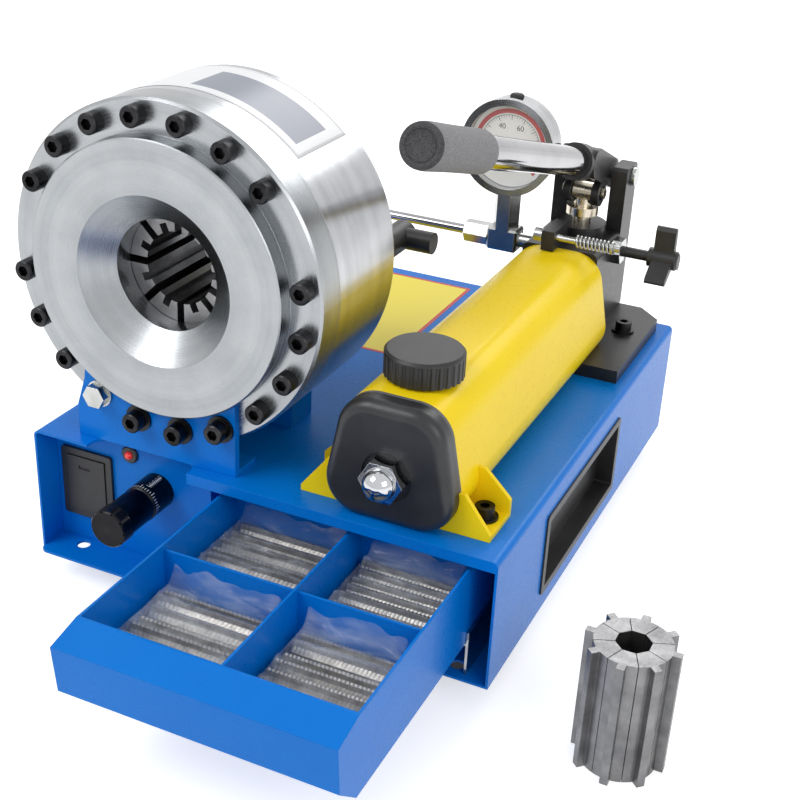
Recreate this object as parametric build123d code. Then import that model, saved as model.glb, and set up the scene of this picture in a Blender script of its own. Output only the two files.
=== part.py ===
from build123d import *
import os
from math import cos, sin, tan, radians, hypot, pi

# Bench-top hose crimping machine with a hand pump, millimetres, +Z up, front towards -Y.
# The origin is the middle of the hose throat, the straight bore behind the head's funnel.

# ---- base box -------------------------------------------------------------
base_width = 400
base_depth = 478
base_height = 110
base_sheet = 2
base_bend = 5
front_lip = 9
axis_from_left = 116
axis_above_deck = 148
face_behind_base_front = 5
foot_radius = 24
foot_height = 24
foot_inset_x = 40
foot_inset_front = 50
foot_inset_rear = 83
bench_hole_radius = 5.5
bench_hole_inset_x = 30
bench_hole_inset_y = 15
notch_start = 52
notch_width = 92
notch_depth = 17
notch_corner = 12

# ---- crimping head --------------------------------------------------------
head_radius = 132.7
boss_radius = 107
boss_height = 14
funnel_radius = 66
mouth_radius = 43.4
mouth_depth = 19
mouth_lip = 17
cover_thickness = 27
body_length = 92
piston_radius = 88
piston_fit = 0.05
piston_stroke = 31
piston_wall = 14
pocket_front = 73
taper = 12
die_count = 8
die_bore_radius = 28.5
die_length = 94
die_gap = 6
die_key_width = 6
die_key_depth = 7
slide_gap = 0.3
end_gap = 0.5
sleeve_radius = 50
sleeve_wall = 6
chamber_gap = 3
cylinder_radius = 97
cylinder_wall = 15
rear_flange_radius = 125
rear_flange_thickness = 14
rear_flange_screws = 12
housing_radius = 60
housing_length = 32
screw_circle = 120.5
screw_steps = 20
first_screw_angle = 7.5
skipped_screws = (1, 9)
hex_screw = 13
bracket_screws = (13, 14, 15, 16)
screw_head_radius = 8
screw_head_height = 11
screw_key = 3.9
screw_radius = 5
screw_length = 44
washer_radius = 11
washer_thickness = 2

# ---- head brackets --------------------------------------------------------
bracket_thickness = 6
bracket_left = 80
bracket_right = 64
bracket_ear_height = 27
bracket_arc_gap = 1
saddle_half_width = 62
saddle_length = 34
saddle_height = 60

# ---- control panel --------------------------------------------------------
panel_setback = 25
bay_wall = 150
battery_left = 11
battery_width = 43
battery_bottom = 28
battery_height = 57
battery_depth = 48
battery_rim = 3
lamp_x = 75
lamp_drop = 14
lamp_radius = 5
gauge_knob_x = 100
gauge_knob_drop = 40
barrel_radius = 15
barrel_length = 27
thimble_radius = 15.5
thimble_length = 41
spindle_radius = 4
spindle_length = 46

# ---- drawer ---------------------------------------------------------------
drawer_left = 170
drawer_right_inset = 22
drawer_bottom = 30
drawer_top_drop = 14
drawer_length = 260
drawer_open = 172
drawer_sheet = 2
nose_reach = 28
nose_drop = 6
nose_height = 44
divider_x = 280
row_pitch = 100
bundle_height = 34
bundle_side = 6
bundle_ribs = 7
runner_ledge = 14
runner_guide = 10

# ---- carry handles --------------------------------------------------------
handle_start = 112
handle_length = 186
handle_bottom = 20
handle_height = 65
handle_recess = 17
handle_wall = 2.5
handle_lip = 4

# ---- hand pump ------------------------------------------------------------
pump_inset = 92
tube_corner = 27
tube_corner_x = 24
tube_crown = 28
tube_crown_x = 15
tube_crown_z = 68
tube_wall = 3
tube_start = 27
tube_end = 372
bed_reach = 10
bed_depth = 4
gasket_thickness = 3
cap_depth = 17
cap_round = 9
cap_nut_flats = 30
cap_nut_z = 40
tie_rod_radius = 6
filler_y = 66
filler_radius = 30
filler_height = 20
filler_neck_radius = 18
filler_lift = 1.5
foot_plate = 4
foot_start = 22
foot_half_width = 76.5
foot_length = 42
foot_shoulder = 55
foot_web_front = (5, 33)
foot_web_rear = (15, 36)
foot_bolt_x = 62
foot_bolt_y = 25
foot_bolt_hole = 5.5
pump_base_half = 80
pump_base_length = 156
pump_base_corner = 22
pump_base_height = 12
pump_bolt_x = 58
pump_bolt_y = 411
bolt_radius = 4.8
block_half = 36
block_rear = 476
block_height = 96
plunger_bore_floor = 30
plunger_y = 430
plunger_radius = 9
plunger_pin_radius = 5
plunger_pin_rise = -10
pin_slot_clearance = 0.7
pin_slot_wall = 5.5
lever_eye_radius = 14
collar_radius = 15
collar_height = 8
gland_radius = 24
gland_height = 9
fulcrum_y = 466
fulcrum_z = 145
pin_radius = 6
pin_fit = 0.05
post_gap = 20
post_thickness = 15
post_start = 446
post_end = 480
post_head = 11
lever_pitch = 16
lever_socket_radius = 17
lever_socket_start = 389
lever_socket_depth = 18
lever_web = 4
handle_axis_lift = 7
handle_tube_radius = 13
handle_tube_length = 379
grip_radius = 16.5
grip_length = 112
cheek_gap = 10
cheek_thickness = 7
lever_up = 35
lever_down = 10
knob_y = 425
knob_z = 85
knob_stem_radius = 5
knob_stem_length = 34
knob_stem_depth = 18
knob_hub_radius = 9
knob_hub_length = 28
knob_wing_reach = 31
knob_wing_length = 19
knob_wing_thickness = 7
knob_wing_root = 9

# ---- pressure line --------------------------------------------------------
line_y = 400
line_z = 86
line_x = 244
tee_half = 15
pipe_radius = 4.5
pipe_nut_flats = 19
pipe_bend = 22
port_x = -47
gauge_z = 176
gauge_radius = 43.5
gauge_depth = 32
gauge_rim = 5
gauge_flange = 1.5
gauge_flange_depth = 6
gauge_glass = 2
stem_radius = 7
stem_flats = 22
spring_rod_radius = 3
spring_rod_y = 363
spring_rod_z = 109
spring_radius = 6
spring_length = 34
spring_turns = 9
rod_collar_inset = 8
rod_lug = 12
switch_radius = 13
switch_length = 128
switch_x = 56
switch_z = 49
switch_plug_radius = 10
switch_plug_length = 22

# ---- loose die set --------------------------------------------------------
die_set_x = 500
die_set_y = 5
die_set_radius = 28
die_set_bore = 13
die_set_length = 100

pump_x = base_width - pump_inset
drawer_right = base_width - drawer_right_inset
drawer_top = base_height - drawer_top_drop
lamp_z = base_height - lamp_drop
gauge_knob_z = base_height - gauge_knob_drop
left = -axis_from_left
face = -(mouth_depth + mouth_lip / 2)
front = face - face_behind_base_front
deck = -axis_above_deck
base_z = deck - base_height
floor_z = base_z - foot_height
sector = 360 / die_count

cover_front = face + boss_height
cover_rear = cover_front + cover_thickness
body_rear = cover_rear + body_length
throat_rear = face + mouth_depth + mouth_lip
die_front = throat_rear + end_gap
die_rear = die_front + die_length
piston_front = die_front + piston_stroke + end_gap
piston_floor = die_rear + piston_stroke + end_gap
piston_rear = piston_floor + piston_wall
chamber_rear = piston_rear + chamber_gap
cylinder_rear = chamber_rear + cylinder_wall
housing_rear = cylinder_rear + housing_length
die_stroke = piston_stroke * tan(radians(taper))


def base_at(x, y, z):
    """A point measured from the base box's front left lower corner."""
    return (left + x, front + y, base_z + z)


def block(x0, x1, y0, y1, z0, z1):
    """A box between two corners."""
    middle = Pos((x0 + x1) / 2, (y0 + y1) / 2, (z0 + z1) / 2)
    return middle * Box(x1 - x0, y1 - y0, z1 - z0)


def base_block(x0, x1, y0, y1, z0, z1):
    """A box between two corners measured from the base box's corner."""
    return block(left + x0, left + x1, front + y0, front + y1, base_z + z0, base_z + z1)


def rod_x(radius, x0, x1, y, z):
    return Pos((x0 + x1) / 2, y, z) * Rot(0, 90, 0) * Cylinder(radius, x1 - x0)


def rod_y(radius, y0, y1, x=0, z=0):
    return Pos(x, (y0 + y1) / 2, z) * Rot(90, 0, 0) * Cylinder(radius, y1 - y0)


def rod_z(radius, z0, z1, x, y):
    return Pos(x, y, (z0 + z1) / 2) * Cylinder(radius, z1 - z0)


def facing(x, y, z):
    """A sketch plane at y whose drawing shows as seen from the front."""
    return Plane(origin=(x, y, z), x_dir=(1, 0, 0), z_dir=(0, -1, 0))


def side_view(x, y, z):
    """A sketch plane at x: its first axis runs to the rear, its second one up."""
    return Plane(origin=(x, y, z), x_dir=(0, 1, 0), z_dir=(1, 0, 0))


def ring_y(outer, inner, y0, y1):
    """A round collar on the head's axis."""
    return rod_y(outer, y0, y1) - rod_y(inner, y0 - 1, y1 + 1)


def hexagon_y(flats, y0, y1, x, z):
    """A hexagonal nut with its axis along Y."""
    profile = facing(x, y1, z) * RegularPolygon(flats / 2, 6, major_radius=False)
    return extrude(profile, y1 - y0)


def hexagon_x(flats, x0, x1, y, z):
    """A hexagonal nut with its axis along X."""
    profile = side_view(x0, y, z) * RegularPolygon(flats / 2, 6, major_radius=False)
    return extrude(profile, x1 - x0)


def socket_screw(x, z, seat):
    """A socket head cap screw whose head stands on the plane y = seat."""
    head = rod_y(screw_head_radius, seat - screw_head_height, seat, x, z)
    head = chamfer(head.edges().group_by(Axis.Y)[0], 1)
    head -= hexagon_y(2 * screw_key, seat - screw_head_height - 1, seat - screw_head_height / 2, x, z)
    return head + rod_y(screw_radius - slide_gap, seat, seat + screw_length, x, z)


def screw_place(step, radius=None):
    angle = radians(first_screw_angle + step * 360 / screw_steps)
    reach = radius or screw_circle
    return reach * cos(angle), reach * sin(angle)


def line_height():
    return deck + line_z


# ---- base -----------------------------------------------------------------

def base_shell():
    outer = base_block(0, base_width, 0, base_depth, 0, base_height)
    bends = outer.edges().filter_by(Axis.Y).group_by(Axis.Z)[-1]
    bends += outer.edges().filter_by(Axis.X).group_by(Axis.Z)[-1].group_by(Axis.Y)[-1]
    bends += outer.edges().filter_by(Axis.Z).group_by(Axis.Y)[-1]
    outer = fillet(bends, base_bend)
    hollow = base_block(base_sheet, base_width - base_sheet, -1, base_depth - base_sheet,
                        -1, base_height - base_sheet)
    inner_bends = hollow.edges().filter_by(Axis.Y).group_by(Axis.Z)[-1]
    inner_bends += hollow.edges().filter_by(Axis.Z).group_by(Axis.Y)[-1]
    hollow = fillet(inner_bends, base_bend - base_sheet)
    shell = outer - hollow
    lip_start = notch_start + notch_width
    shell += base_block(lip_start, base_width - base_sheet, 0, base_sheet,
                        base_height - front_lip, base_height - base_sheet)
    notch = base_block(notch_start, lip_start, -notch_corner * 2, notch_depth,
                       base_height - front_lip, base_height + 1)
    notch = fillet(notch.edges().filter_by(Axis.Z).group_by(Axis.Y)[-1], notch_corner)
    shell -= notch
    side_window = base_block(-1, base_width + 1, handle_start, handle_start + handle_length,
                             handle_bottom, handle_bottom + handle_height)
    side_window = fillet(side_window.edges().filter_by(Axis.X), handle_lip)
    shell -= side_window
    for reach, y, seat in bolt_spots():
        for side in (-1, 1):
            shell -= rod_z(bolt_radius + slide_gap, deck - base_sheet - 1, deck + 1,
                           left + pump_x + side * reach, y)
    return shell


def bolt_spots():
    """Reach from the pump's centre plane, place along Y and seat height of each bolt pair."""
    return ((pump_bolt_x, front + pump_bolt_y, deck + pump_base_height),
            (foot_bolt_x, front + foot_start + foot_bolt_y, deck + foot_plate))


def bench_holes():
    for x in (bench_hole_inset_x, base_width - bench_hole_inset_x):
        for y in (bench_hole_inset_y, base_depth - bench_hole_inset_y):
            yield x, y


def foot_places():
    for x in (foot_inset_x, base_width - foot_inset_x):
        for y in (foot_inset_front, base_depth - foot_inset_rear):
            yield x, y


def base_floor():
    plate = base_block(base_sheet, base_width - base_sheet, 0, base_depth - base_sheet, 0, base_sheet)
    corners = plate.edges().filter_by(Axis.Z).group_by(Axis.Y)[-1]
    plate = fillet(corners, base_bend - base_sheet)
    tab = base_block(base_sheet, bay_wall - notch_corner, -8, 1, 0, base_sheet)
    tab = fillet(tab.edges().filter_by(Axis.Z).group_by(Axis.Y)[0], 7)
    plate += tab
    for x, y in bench_holes():
        plate -= rod_z(bench_hole_radius, base_z - 1, base_z + base_sheet + 1, left + x, front + y)
    return plate


def rubber_feet():
    feet = []
    for x, y in foot_places():
        foot = rod_z(foot_radius, floor_z, base_z, left + x, front + y)
        feet.append(chamfer(foot.edges().group_by(Axis.Z)[0], 3))
    return Compound(children=feet)


def control_panel():
    panel = base_block(base_sheet, bay_wall, panel_setback, panel_setback + base_sheet,
                       base_sheet, base_height - base_sheet)
    wall = base_block(bay_wall - base_sheet, bay_wall, panel_setback, base_depth - base_sheet,
                      base_sheet, base_height - base_sheet)
    corner = panel.edges().filter_by(Axis.Y).group_by(Axis.Z)[-1].sort_by(Axis.X)[0]
    panel = fillet(corner, base_bend - base_sheet) + wall
    panel -= base_block(battery_left, battery_left + battery_width, 0, panel_setback + 9,
                        battery_bottom, battery_bottom + battery_height)
    x, y, z = base_at(lamp_x, panel_setback, lamp_z)
    panel -= rod_y(lamp_radius, y - 1, y + base_sheet + 1, x, z)
    x, y, z = base_at(gauge_knob_x, panel_setback, gauge_knob_z)
    return panel - rod_y(spindle_radius + 4, y - 1, y + base_sheet + 1, x, z)


def carry_handle(side):
    """A grab recess let into one side of the base: side is -1 for left, +1 for right."""
    y0, y1 = handle_start, handle_start + handle_length
    z0, z1 = handle_bottom, handle_bottom + handle_height
    bezel = base_block(-1.5, 0, y0 - handle_lip, y1 + handle_lip, z0 - handle_lip, z1 + handle_lip)
    bezel = fillet(bezel.edges().filter_by(Axis.X), handle_lip)
    cup = base_block(-1.5, handle_recess, y0 + slide_gap, y1 - slide_gap, z0 + slide_gap, z1 - slide_gap)
    cup = fillet(cup.edges().filter_by(Axis.X), handle_lip)
    recess = base_block(-2, handle_recess - handle_wall, y0 + handle_wall, y1 - handle_wall,
                        z0 + handle_wall, z1 - handle_wall)
    recess = fillet(recess.edges().filter_by(Axis.X), handle_lip / 2)
    handle = bezel + cup - recess
    if side < 0:
        return handle
    return handle.mirror(Plane.YZ.offset(left + base_width / 2))


# ---- control panel items --------------------------------------------------

def battery_housing():
    x0, x1 = battery_left, battery_left + battery_width
    z0, z1 = battery_bottom, battery_bottom + battery_height
    y = panel_setback
    frame = base_block(x0 - battery_rim, x1 + battery_rim, y - battery_rim, y,
                       z0 - battery_rim, z1 + battery_rim)
    sleeve = base_block(x0 + slide_gap, x1 - slide_gap, y - 1, y + battery_depth + 3,
                        z0 + slide_gap, z1 - slide_gap)
    bore = base_block(x0 + battery_rim, x1 - battery_rim, y - battery_rim - 1, y + battery_depth,
                      z0 + battery_rim, z1 - battery_rim)
    return fillet(frame.edges().filter_by(Axis.Y), battery_rim) + sleeve - bore


def battery_tray():
    inset = battery_rim + slide_gap
    x0, x1 = battery_left + inset, battery_left + battery_width - inset
    z0, z1 = battery_bottom + inset, battery_bottom + battery_height - inset
    y = panel_setback - battery_rim
    tray = base_block(x0, x1, y - 1, panel_setback + battery_depth - slide_gap, z0, z1)
    tray -= base_block(x0 + 2, x1 + 1, y + 4, panel_setback + battery_depth - 2, z0 + 2, z1 - 2)
    middle = (x0 + x1) / 2
    tray -= base_block(middle - 7, middle + 4, y - 2, y, z1 - 11, z1 - 8)
    return tray


def indicator_lamp():
    x, y, z = base_at(lamp_x, panel_setback, lamp_z)
    bezel = rod_y(lamp_radius + 2.5, y - 2.5, y, x, z)
    bezel = chamfer(bezel.edges().group_by(Axis.Y)[0], 1)
    lens = Pos(x, y - 2.5, z) * Sphere(lamp_radius - 1.5)
    return bezel + lens + rod_y(lamp_radius - slide_gap, y, y + 14, x, z)


def micrometer_sleeve():
    x, y, z = base_at(gauge_knob_x, panel_setback, gauge_knob_z)
    sleeve = rod_y(barrel_radius, y - barrel_length, y, x, z)
    sleeve = chamfer(sleeve.edges().group_by(Axis.Y)[0], 1.5)
    nut = hexagon_y(26, y + base_sheet, y + base_sheet + 7, x, z)
    neck = rod_y(spindle_radius + 3, y - 1, y + base_sheet + 7, x, z)
    bore = rod_y(spindle_radius + pin_fit, y - barrel_length - 1, y + base_sheet + 8, x, z)
    return sleeve + nut + neck - bore


def micrometer_thimble():
    x, y, z = base_at(gauge_knob_x, panel_setback, gauge_knob_z)
    start = y - barrel_length - slide_gap
    grip = rod_y(thimble_radius - 1, start - thimble_length, start, x, z)
    grip += rod_y(thimble_radius, start - thimble_length, start - thimble_length + 14, x, z)
    grip = chamfer(grip.edges().group_by(Axis.Y)[0], 1)
    for turn in range(10):
        angle = radians(turn * 36)
        groove = rod_y(1.2, start - thimble_length - 1, start - thimble_length + 11,
                       x + thimble_radius * cos(angle), z + thimble_radius * sin(angle))
        grip -= groove
    return grip


def micrometer_spindle():
    x, y, z = base_at(gauge_knob_x, panel_setback, gauge_knob_z)
    start = y - barrel_length + 6
    rod = rod_y(spindle_radius, start, start + spindle_length + barrel_length, x, z)
    return chamfer(rod.edges().group_by(Axis.Y)[-1], 1)


# ---- crimping head --------------------------------------------------------

def front_cover():
    with BuildPart() as cover:
        with BuildSketch(Plane.XY):
            Polygon([(mouth_radius, face + mouth_depth), (funnel_radius, face), (boss_radius - 1, face),
                     (boss_radius, face + 1), (boss_radius, cover_front), (head_radius - 2, cover_front),
                     (head_radius, cover_front + 2), (head_radius, cover_rear),
                     (piston_radius, cover_rear), (piston_radius, throat_rear),
                     (mouth_radius, throat_rear)], align=None)
        revolve(axis=Axis.Y)
    solid = cover.part
    for step in range(screw_steps):
        if step not in skipped_screws:
            x, z = screw_place(step)
            solid -= rod_y(screw_radius + slide_gap, cover_front - 1, cover_rear + 1, x, z)
    return solid


def head_body():
    body = rod_y(head_radius, cover_rear, body_rear)
    body = chamfer(body.edges().group_by(Axis.Y)[-1], 2.5)
    body -= rod_y(piston_radius, cover_rear - 1, body_rear + 1)
    for step in range(screw_steps):
        if step not in skipped_screws:
            x, z = screw_place(step)
            depth = cover_front + screw_length + 2
            body -= rod_y(screw_radius, cover_rear - 1, depth, x, z)
    return body


def cylinder_screw_places():
    circle = (cylinder_radius + rear_flange_radius) / 2
    for step in range(rear_flange_screws):
        angle = radians((step + 0.5) * 360 / rear_flange_screws)
        yield circle * cos(angle), circle * sin(angle)


def rear_cylinder():
    """Cylinder shell, its end wall and the fixed inner sleeve that the piston rides on."""
    shell = rod_y(cylinder_radius, body_rear, cylinder_rear)
    shell = chamfer(shell.edges().group_by(Axis.Y)[-1], 3)
    shell += rod_y(rear_flange_radius, body_rear, body_rear + rear_flange_thickness)
    shell -= rod_y(piston_radius, body_rear - 1, chamber_rear)
    sleeve_front = die_rear + end_gap
    shell += rod_y(sleeve_radius, sleeve_front, cylinder_rear)
    shell -= rod_y(sleeve_radius - sleeve_wall, sleeve_front - 1, cylinder_rear + 1)
    for x, z in cylinder_screw_places():
        seat = body_rear + rear_flange_thickness
        shell += rod_y(6.5, seat, seat + 8, x, z)
    return shell - rod_y(pipe_radius + 0.1, chamber_rear - 1, cylinder_rear + 1, port_x, line_height())


def rear_housing():
    housing = ring_y(housing_radius, sleeve_radius - sleeve_wall, cylinder_rear, housing_rear)
    return chamfer(housing.edges().group_by(Axis.Y)[-1], 2)


def stroke_switch():
    """Switch housing on the cylinder's rear that lights the lamp at the set diameter."""
    x, z, end = switch_x, -switch_z, cylinder_rear + switch_length
    body = rod_y(switch_radius, cylinder_rear, end, x, z)
    body = chamfer(body.edges().group_by(Axis.Y)[-1], 2)
    plug_y = end - switch_plug_radius - 3
    return body + rod_x(switch_plug_radius, x, x + switch_radius + switch_plug_length, plug_y, z)


def flat_distance(y):
    """Distance from the axis to the pocket's flats at rest, at a place along the axis."""
    return pocket_front - (y - piston_front) * tan(radians(taper))


def cone_piston():
    piston = rod_y(piston_radius - piston_fit, piston_front, piston_rear)
    sections = []
    for y in (piston_front - 1, piston_floor):
        corner = flat_distance(y) / cos(radians(sector / 2))
        plane = facing(0, y, 0)
        outline = RegularPolygon(corner, die_count)
        sections.append(plane * outline)
    pocket = loft(sections)
    return piston - pocket - rod_y(sleeve_radius + piston_fit, piston_floor - 1, piston_rear + 1)


def master_die(index):
    """One of the eight wedge dies: flat tapered back, concave face and a key slot."""
    y0, y1 = die_front, die_rear
    side = Plane.XY * Polygon([(die_bore_radius - 6, y0), (flat_distance(y0) - slide_gap, y0),
                               (flat_distance(y1) - slide_gap, y1), (die_bore_radius - 6, y1)],
                              align=None)
    die = extrude(side, piston_radius, both=True)
    half = radians(sector / 2)
    inner, outer = die_bore_radius - 8, piston_radius + 10
    spread = die_gap / 2 / cos(half)
    wedge = Polygon([(inner, spread - inner * tan(half)), (outer, spread - outer * tan(half)),
                     (outer, outer * tan(half) - spread), (inner, inner * tan(half) - spread)],
                    align=None)
    die &= extrude(facing(0, y1 + 1, 0) * wedge, die_length + 2)
    die -= rod_y(die_bore_radius, y0 - 1, y1 + 1)
    die -= block(0, die_bore_radius + die_key_depth, y0 - 1, y1 + 1,
                 -die_key_width / 2, die_key_width / 2)
    return Rot(0, -(index + 0.5) * sector, 0) * die


def front_bracket():
    """Plate under the head's front: a round notch for the boss and a foot on the deck."""
    y1 = cover_front
    y0 = y1 - bracket_thickness
    ear = deck + bracket_ear_height
    top = deck + axis_above_deck
    plate = facing(0, y1, 0) * Polygon([(-bracket_left, deck), (bracket_right, deck),
                                        (bracket_right, top), (-bracket_left + 18, top),
                                        (-bracket_left + 8, deck + 52), (-bracket_left, ear)],
                                       align=None)
    plate = extrude(plate, bracket_thickness)
    plate -= rod_y(boss_radius + bracket_arc_gap, y0 - 1, y1 + 1)
    plate += block(-bracket_left, bracket_right, y1 - 1, y1 + 24, deck, deck + 4)
    plate -= rod_y(head_radius + 2, y1, y1 + 30)
    for step in bracket_screws:
        x, z = screw_place(step)
        plate -= rod_y(screw_radius + slide_gap, y0 - 1, y1 + 1, x, z)
    solids = plate.solids().sort_by(SortBy.VOLUME)
    return solids[-1]


def rear_saddle():
    y1 = body_rear
    saddle = block(-saddle_half_width, saddle_half_width, y1 - saddle_length, y1, deck, deck + saddle_height)
    saddle -= rod_y(head_radius, y1 - saddle_length - 1, y1 + 1)
    return saddle


def flange_screws():
    screws = []
    for step in range(screw_steps):
        if step in skipped_screws:
            continue
        x, z = screw_place(step)
        seat = cover_front
        if step in bracket_screws:
            seat -= bracket_thickness + washer_thickness
            washer = rod_y(washer_radius, seat, seat + washer_thickness, x, z)
            screws.append(washer - rod_y(screw_radius, seat - 1, seat + washer_thickness + 1, x, z))
        if step == hex_screw:
            bolt = hexagon_y(17, seat - 8, seat, x, z)
            screws.append(bolt + rod_y(screw_radius - slide_gap, seat, seat + screw_length, x, z))
        else:
            screws.append(socket_screw(x, z, seat))
    return Compound(children=screws)


# ---- drawer ---------------------------------------------------------------

def drawer_tray():
    x0, x1, z0, z1 = drawer_left, drawer_right, drawer_bottom, drawer_top
    y0 = -drawer_open
    y1 = y0 + drawer_length
    tray = base_block(x0, x1, y0, y1, z0, z1)
    tray -= base_block(x0 + drawer_sheet, x1 - drawer_sheet, y0 + drawer_sheet, y1 - drawer_sheet,
                       z0 + drawer_sheet, z1 + 1)
    t = drawer_sheet
    profile = [(0, 0), (-nose_reach, -nose_drop), (-nose_reach + 4, -nose_height), (0, z0 - z1)]
    inner = [(1, -t), (-nose_reach + t + 0.5, -nose_drop - t), (-nose_reach + 4 + t, -nose_height),
             (-nose_reach + 6, -nose_height - 12), (1, z0 - z1 - 4)]
    x, y, z = base_at(x0, y0, z1)
    nose = extrude(side_view(x, y, z) * Polygon(profile, align=None), x1 - x0)
    room = extrude(side_view(x + t, y, z) * Polygon(inner, align=None), x1 - x0 - 2 * t)
    room -= base_block(x0, x1, y0, y0 + 10, z0 - 5, z1)
    return tray + (nose - room)


def divider_rows():
    """The cross dividers' places, from the base's front edge."""
    first = -drawer_open + row_pitch
    return (first, first + row_pitch)


def drawer_dividers():
    z0, z1 = drawer_bottom + drawer_sheet, drawer_top - 1
    y0 = -drawer_open + drawer_sheet
    y1 = -drawer_open + drawer_length - drawer_sheet
    half = drawer_sheet / 2
    wall = base_block(divider_x - half, divider_x + half, y0, y1, z0, z1)
    for y in divider_rows():
        wall += base_block(drawer_left + drawer_sheet, drawer_right - drawer_sheet,
                           y - half, y + half, z0, z1 - 3)
    return wall


def die_bundle(column, row):
    """A bag of loose die segments laid side by side in one compartment."""
    half = drawer_sheet / 2
    spans = ((drawer_left + drawer_sheet, divider_x - half),
             (divider_x + half, drawer_right - drawer_sheet))
    x0, x1 = spans[column][0] + bundle_side, spans[column][1] - bundle_side
    starts = (-drawer_open + drawer_sheet, divider_rows()[0] + half)
    y0 = starts[row] + bundle_side
    y1 = divider_rows()[row] - half - bundle_side
    z0 = drawer_bottom + drawer_sheet
    pile = base_block(x0, x1, y0, y1, z0, z0 + bundle_height - 4)
    pitch = (y1 - y0) / bundle_ribs
    for rib in range(bundle_ribs):
        x, y, z = base_at(x0, y0 + (rib + 0.5) * pitch, z0 + bundle_height - 4)
        pile += rod_x(pitch * 0.42, x, x + (x1 - x0), y, z)
    return pile


def drawer_runners():
    """Two angles on the base floor that carry the drawer and guide its sides."""
    runners = []
    y0, y1 = 6, drawer_length - 10
    top = drawer_bottom - slide_gap
    for inner, inward in ((drawer_left, 1), (drawer_right, -1)):
        guide = inner - inward * slide_gap
        edge, back = guide + inward * runner_ledge, guide - inward * drawer_sheet
        shelf = base_block(min(back, edge), max(back, edge), y0, y1, top - drawer_sheet, top)
        web = base_block(min(guide, back), max(guide, back), y0, y1, base_sheet, top + runner_guide)
        runners.append(shelf + web)
    return Compound(children=runners)


# ---- hand pump ------------------------------------------------------------

def pump_at(y, z):
    """A point on the pump's centre plane: y from the base's front, z above the deck."""
    return left + pump_x, front + y, deck + z


def tube_section(inset=0):
    """The reservoir's rounded outline, flat side down and narrower at the crown."""
    circles = Pos(-tube_corner_x, tube_corner) * Circle(tube_corner - inset)
    circles += Pos(tube_corner_x, tube_corner) * Circle(tube_corner - inset)
    circles += Pos(-tube_crown_x, tube_crown_z) * Circle(tube_crown - inset)
    circles += Pos(tube_crown_x, tube_crown_z) * Circle(tube_crown - inset)
    return make_hull(circles.edges())


def tube_bed():
    """The hollow the tube lies in: its outline, with the thin lower edges cut back."""
    return tube_section() + Pos(0, bed_depth / 2) * Rectangle(2 * (tube_corner_x + bed_reach), 2 * bed_depth)


def reservoir_tube():
    x, y, z = pump_at(tube_end, 0)
    length = tube_end - tube_start
    tube = extrude(facing(x, y, z) * tube_section(), length)
    tube -= extrude(facing(x, y + 1, z) * tube_section(tube_wall), length + 2)
    crown = z + tube_crown_z + tube_crown
    neck_y = front + filler_y
    neck = rod_z(filler_neck_radius, crown - 9, crown + filler_lift, x, neck_y)
    neck -= extrude(facing(x, y + 1, z) * tube_section(tube_wall / 2), length + 2)
    opening = rod_z(filler_neck_radius - 5, crown - 12, crown + filler_lift + 1, x, neck_y)
    return tube + neck - opening


def reservoir_gasket():
    x, y, z = pump_at(tube_start, 0)
    gasket = extrude(facing(x, y, z) * tube_section(), gasket_thickness)
    return gasket - extrude(facing(x, y + 1, z) * tube_section(tube_wall), gasket_thickness + 2)


def cap_face():
    """Where the end cap's outer face stands, along Y."""
    return front + tube_start - gasket_thickness - cap_depth


def reservoir_cap():
    x, y, z = pump_at(tube_start - gasket_thickness, 0)
    cap = extrude(facing(x, y, z) * tube_section(), cap_depth)
    cap = fillet(cap.edges().group_by(Axis.Y)[0], cap_round)
    recess = rod_y(cap_nut_flats * 0.66, cap_face() - 1, cap_face() + 3, x, deck + cap_nut_z)
    return cap - recess - rod_y(tie_rod_radius, cap_face() - 1, y + 1, x, deck + cap_nut_z)


def cap_nut():
    x, z = left + pump_x, deck + cap_nut_z
    seat = cap_face() + 3
    nut = hexagon_y(cap_nut_flats, seat - 14, seat, x, z)
    dome = Pos(x, seat - 14, z) * Sphere(cap_nut_flats / 2 - 2.5)
    dome &= block(x - 20, x + 20, seat - 40, seat - 13, z - 20, z + 20)
    nut += dome
    return nut - rod_y(tie_rod_radius, seat - 12, seat + 1, x, z)


def tie_rod():
    x, z = left + pump_x, deck + cap_nut_z
    return rod_y(tie_rod_radius - slide_gap, cap_face() - 8, front + tube_end, x, z)


def filler_cap():
    x, y, z = pump_at(filler_y, tube_crown_z + tube_crown + filler_lift + slide_gap)
    cap = rod_z(filler_radius, z, z + filler_height, x, y)
    cap = chamfer(cap.edges().group_by(Axis.Z)[-1], 2)
    scallops = 30
    for step in range(scallops):
        angle = step * 2 * pi / scallops
        cap -= rod_z(1.9, z - 1, z + filler_height - 3, x + (filler_radius + 0.6) * cos(angle),
                     y + (filler_radius + 0.6) * sin(angle))
    plug = rod_z(filler_neck_radius - 5 - slide_gap, z - 8, z + 1, x, y)
    return cap + plug


def pump_foot():
    """Yellow front foot: a channel under the tube, its two webs cut to the tube's outline."""
    x, y, z = pump_at(foot_start, 0)
    half = foot_half_width
    foot = block(x - half, x + half, y, y + foot_length, z, z + foot_plate)
    for start, heights in ((y, foot_web_front), (y + foot_length - foot_plate, foot_web_rear)):
        low, high = heights
        web = Polygon([(-half, 0), (half, 0), (half, low), (foot_shoulder, high),
                       (-foot_shoulder, high), (-half, low)], align=None)
        foot += extrude(facing(x, start + foot_plate, z) * web, foot_plate)
    foot -= extrude(facing(x, y + foot_length + 1, z) * tube_bed(), foot_length + 2)
    for side in (-1, 1):
        foot -= rod_z(foot_bolt_hole, z - 1, z + foot_plate + 1, x + side * foot_bolt_x, y + foot_bolt_y)
    return foot


def pump_base_start():
    return tube_end - 52


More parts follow.
